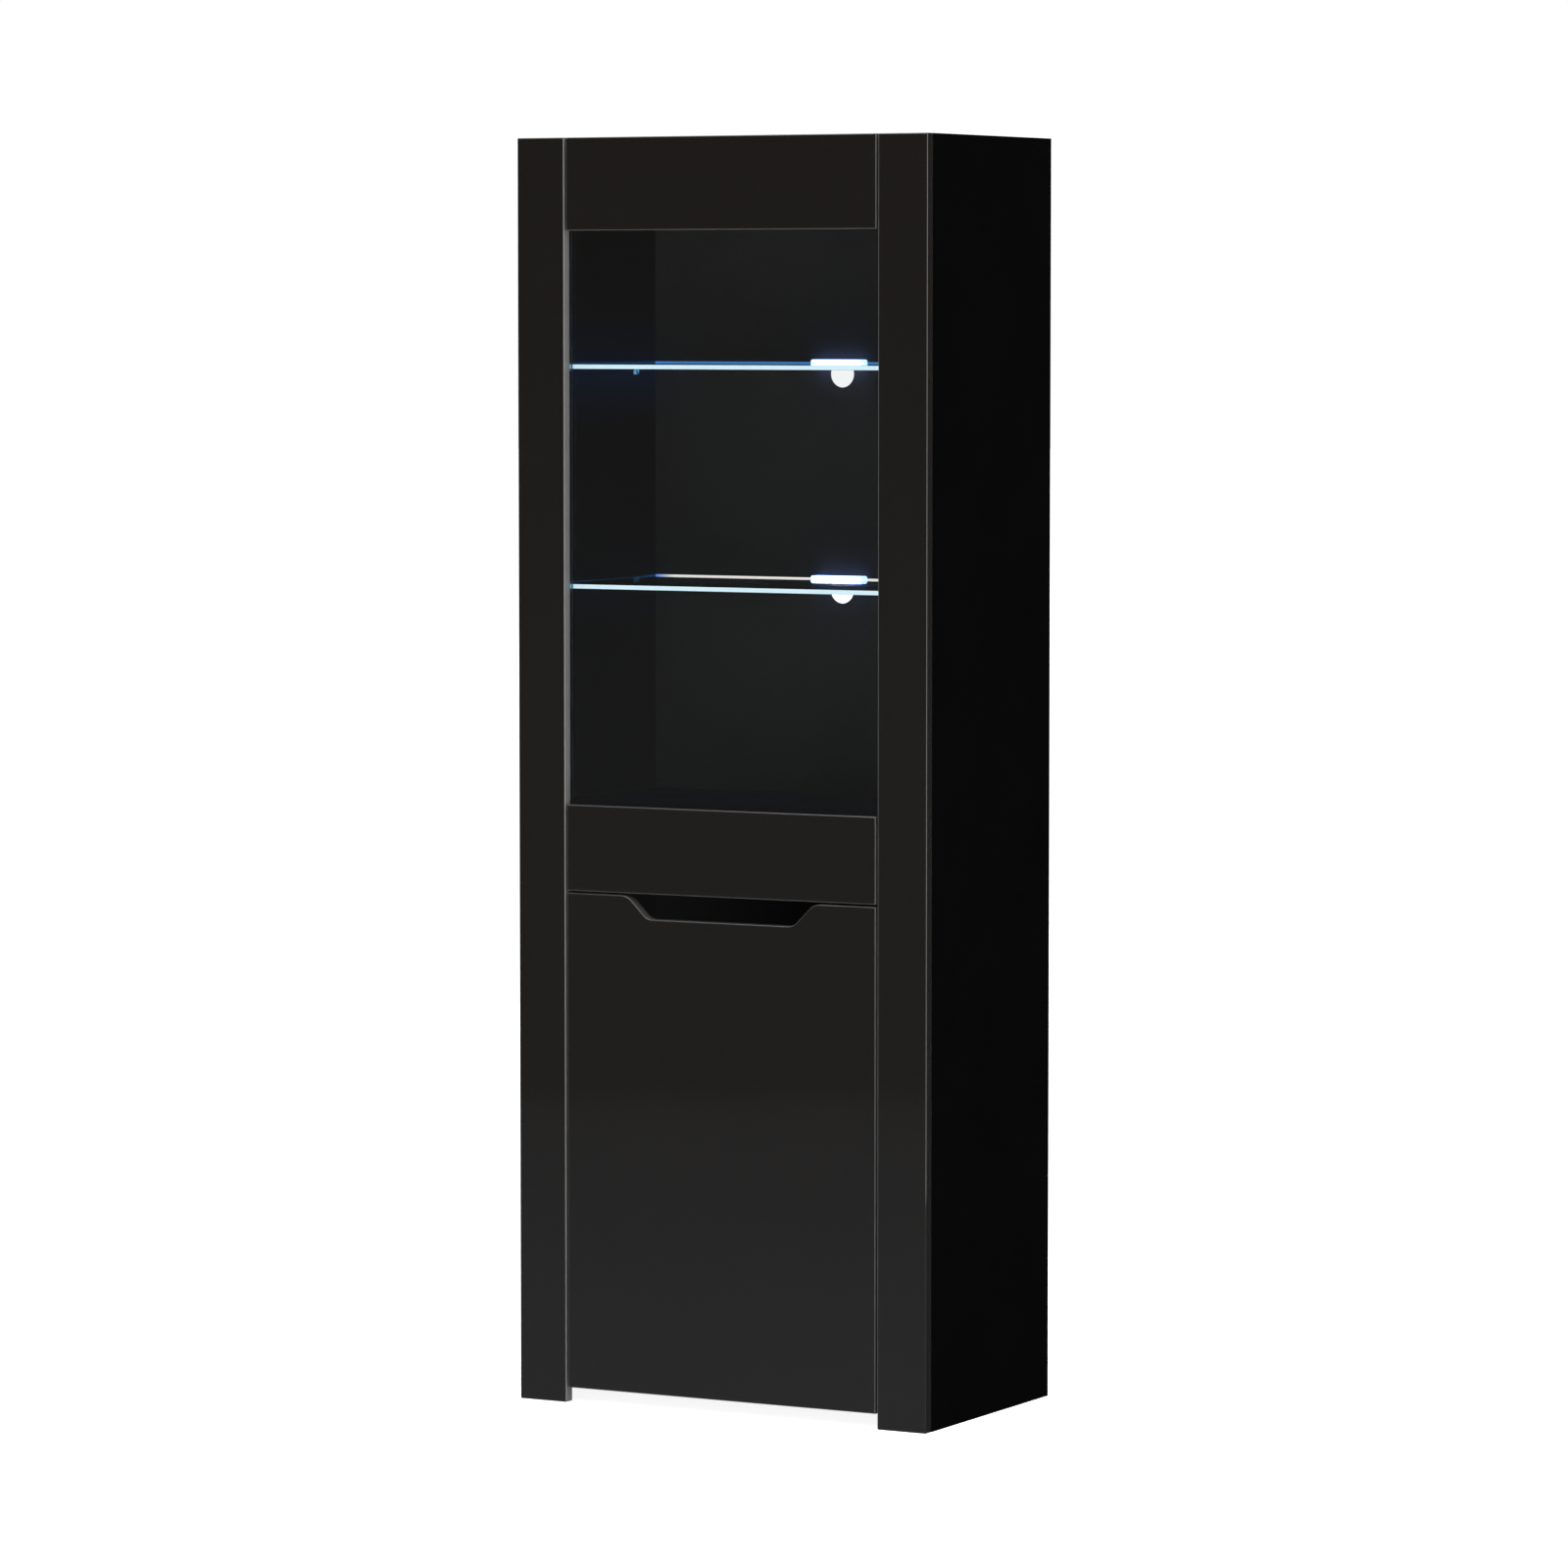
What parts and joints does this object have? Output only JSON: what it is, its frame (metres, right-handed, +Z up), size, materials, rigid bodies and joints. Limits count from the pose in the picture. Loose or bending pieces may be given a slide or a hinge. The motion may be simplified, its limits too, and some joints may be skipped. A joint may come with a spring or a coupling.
{
  "type": "china cabinet",
  "caption": "Tall narrow china cabinet with a glass upper door, lit glass shelves and a solid lower door with a grip cut in its top edge.",
  "frame": {"origin": "on the floor, under the middle of the cabinet's box", "axes": "+X to the right as seen from the front, +Y in from the front to the back, +Z up"},
  "size_m": [0.6, 0.35, 1.65],
  "materials": {
    "gloss_black_board": "black high-gloss film on fibreboard, posts and doors",
    "matt_black_board": "matt black melamine on chipboard",
    "back_board": "thin hardboard, matt black on the inside",
    "clear_glass": "clear tempered glass with polished edges",
    "nickel_steel": "nickel-plated pressed steel",
    "zinc_steel": "zinc-plated steel",
    "light_diffuser": "frosted acrylic, lit from inside",
    "circuit_board": "white printed circuit strip",
    "clear_plastic": "clear moulded plastic",
    "black_plastic": "extruded black plastic"
  },
  "bodies": {
    "carcass": {"left_side_panel": "matt_black_board", "right_side_panel": "matt_black_board", "top_panel": "matt_black_board", "middle_panel": "matt_black_board", "bottom_panel": "matt_black_board", "left_post": "gloss_black_board", "right_post": "gloss_black_board", "upper_back_board": "back_board", "lower_back_board": "back_board", "back_board_joiner": "black_plastic", "wooden_shelf": "matt_black_board", "shelf_pin_front_left": "nickel_steel", "shelf_pin_front_right": "nickel_steel", "shelf_pin_rear_left": "nickel_steel", "shelf_pin_rear_right": "nickel_steel", "lower_glass_shelf": "clear_glass", "lower_glass_support_front_left": "nickel_steel", "lower_glass_support_front_right": "nickel_steel", "lower_glass_support_rear_left": "nickel_steel", "lower_glass_support_rear_right": "nickel_steel", "lower_light_clip": "light_diffuser", "lower_light_strip": "circuit_board", "upper_glass_shelf": "clear_glass", "upper_glass_support_front_left": "nickel_steel", "upper_glass_support_front_right": "nickel_steel", "upper_glass_support_rear_left": "nickel_steel", "upper_glass_support_rear_right": "nickel_steel", "upper_light_clip": "light_diffuser", "upper_light_strip": "circuit_board", "bottom_bumper": "clear_plastic", "middle_bumper": "clear_plastic", "top_bumper": "clear_plastic", "wall_bracket_left": "zinc_steel", "wall_bracket_right": "zinc_steel", "lower_door_bottom_hinge_arm": "nickel_steel", "lower_door_bottom_hinge_plate": "nickel_steel", "lower_door_top_hinge_arm": "nickel_steel", "lower_door_top_hinge_plate": "nickel_steel", "upper_door_bottom_hinge_arm": "nickel_steel", "upper_door_bottom_hinge_plate": "nickel_steel", "upper_door_top_hinge_arm": "nickel_steel", "upper_door_top_hinge_plate": "nickel_steel"},
    "upper_door": {"upper_door_bottom_rail": "gloss_black_board", "upper_door_top_rail": "gloss_black_board", "upper_door_glass": "clear_glass", "glass_retainer_bottom_left": "clear_plastic", "glass_retainer_bottom_right": "clear_plastic", "glass_retainer_top_left": "clear_plastic", "glass_retainer_top_right": "clear_plastic", "upper_door_bottom_hinge_cup": "nickel_steel", "upper_door_top_hinge_cup": "nickel_steel"},
    "lower_door": {"lower_door_panel": "gloss_black_board", "lower_door_bottom_hinge_cup": "nickel_steel", "lower_door_top_hinge_cup": "nickel_steel"},
    "upper_door_links": {"upper_door_bottom_hinge_link": "nickel_steel", "upper_door_top_hinge_link": "nickel_steel"},
    "lower_door_links": {"lower_door_bottom_hinge_link": "nickel_steel", "lower_door_top_hinge_link": "nickel_steel"}
  },
  "joints": [
    {"name": "upper_door_hinge", "type": "hinge", "parent": "carcass", "child": "upper_door", "pos_m": [-0.223, -0.171, 0], "axis": [0, 0, -1], "range_deg": [0, 95]},
    {"name": "lower_door_hinge", "type": "hinge", "parent": "carcass", "child": "lower_door", "pos_m": [-0.223, -0.171, 0], "axis": [0, 0, -1], "range_deg": [0, 95]},
    {"name": "upper_link_pivot", "type": "hinge", "parent": "carcass", "child": "upper_door_links", "pos_m": [-0.242, -0.149, 0], "axis": [0, 0, -1], "range_deg": [0, 28.5]},
    {"name": "lower_link_pivot", "type": "hinge", "parent": "carcass", "child": "lower_door_links", "pos_m": [-0.242, -0.149, 0], "axis": [0, 0, -1], "range_deg": [0, 28.5]}
  ],
  "couplings": [
    {"joint": "upper_link_pivot", "follows": "upper_door_hinge", "ratio": 0.3},
    {"joint": "lower_link_pivot", "follows": "lower_door_hinge", "ratio": 0.3}
  ]
}
